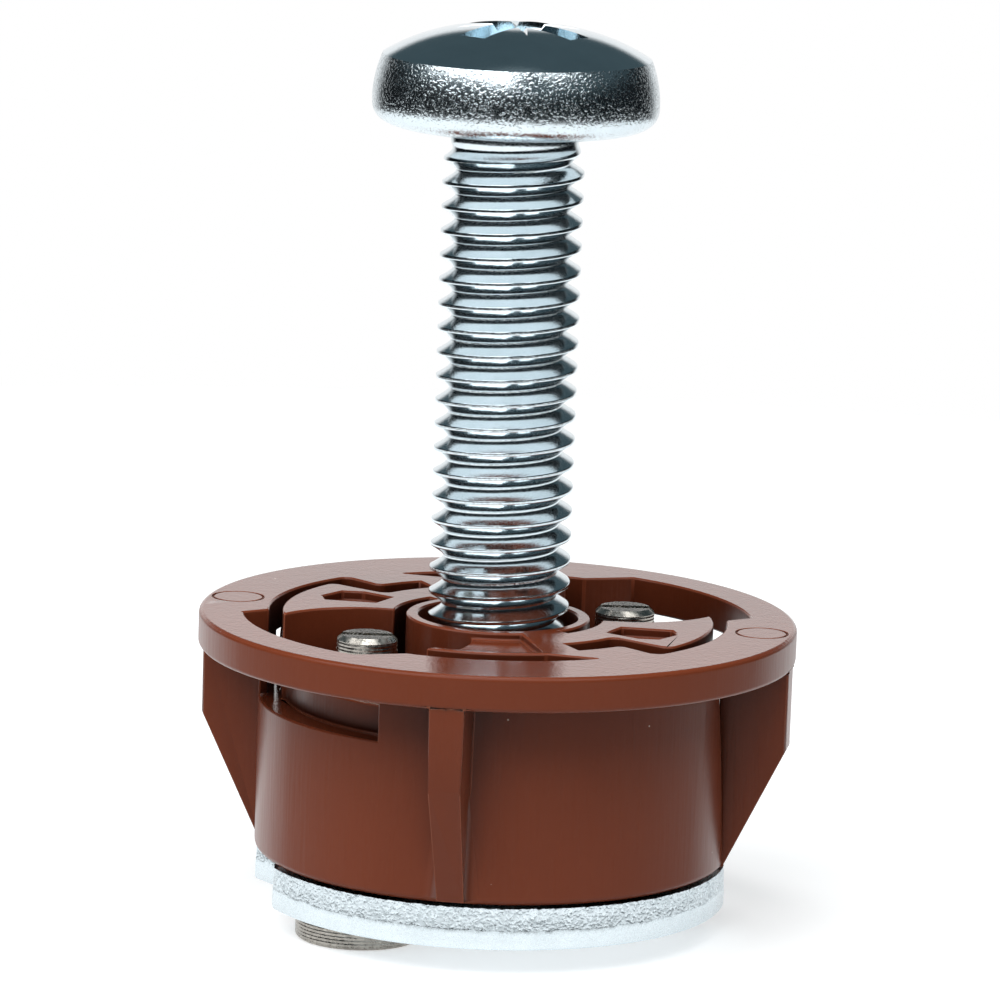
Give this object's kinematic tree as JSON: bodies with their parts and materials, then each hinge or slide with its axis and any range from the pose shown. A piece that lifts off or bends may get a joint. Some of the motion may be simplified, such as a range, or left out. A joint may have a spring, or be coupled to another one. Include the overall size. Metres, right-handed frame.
{
  "type": "drywall anchor",
  "caption": "Round flanged plasterboard anchor for a 20 mm hole, with steel wings that swing out behind the board and an M6 pan-head screw.",
  "frame": {"origin": "on the screw's axis, level with the lower faces of the two pin heads on which the anchor stands", "axes": "+Z along the screw's axis, out of the wall towards the screw's head; X and Y across the flange, with the front pin at -X, -Y"},
  "size_m": [0.0247, 0.0246, 0.0374],
  "materials": {
    "brown_plastic": "injection-moulded brown plastic, semi-gloss",
    "zinc_wing": "bright zinc plate with a sheared edge",
    "pin_steel": "turned steel, dark",
    "zinc_screw": "bright zinc plate",
    "insert_steel": "turned steel, zinc plated"
  },
  "bodies": {
    "anchor_body": {"body": "brown_plastic", "threaded_insert": "insert_steel"},
    "front_wing_set": {"front_wing": "zinc_wing", "front_pin": "pin_steel"},
    "back_wing_set": {"back_wing": "zinc_wing", "back_pin": "pin_steel"},
    "machine_screw": {"screw": "zinc_screw"}
  },
  "joints": [
    {"name": "front_wing_swing", "type": "hinge", "parent": "anchor_body", "child": "front_wing_set", "pos_m": [-0.0053, -0.00373, 0], "axis": [0, 0, -1], "range_deg": [0, 90]},
    {"name": "back_wing_swing", "type": "hinge", "parent": "anchor_body", "child": "back_wing_set", "pos_m": [0.0053, 0.00373, 0], "axis": [0, 0, -1], "range_deg": [0, 90]},
    {"name": "screw_travel", "type": "slide", "parent": "anchor_body", "child": "machine_screw", "axis": [0, 0, 1], "range_m": [-0.02025, 0.005]}
  ]
}
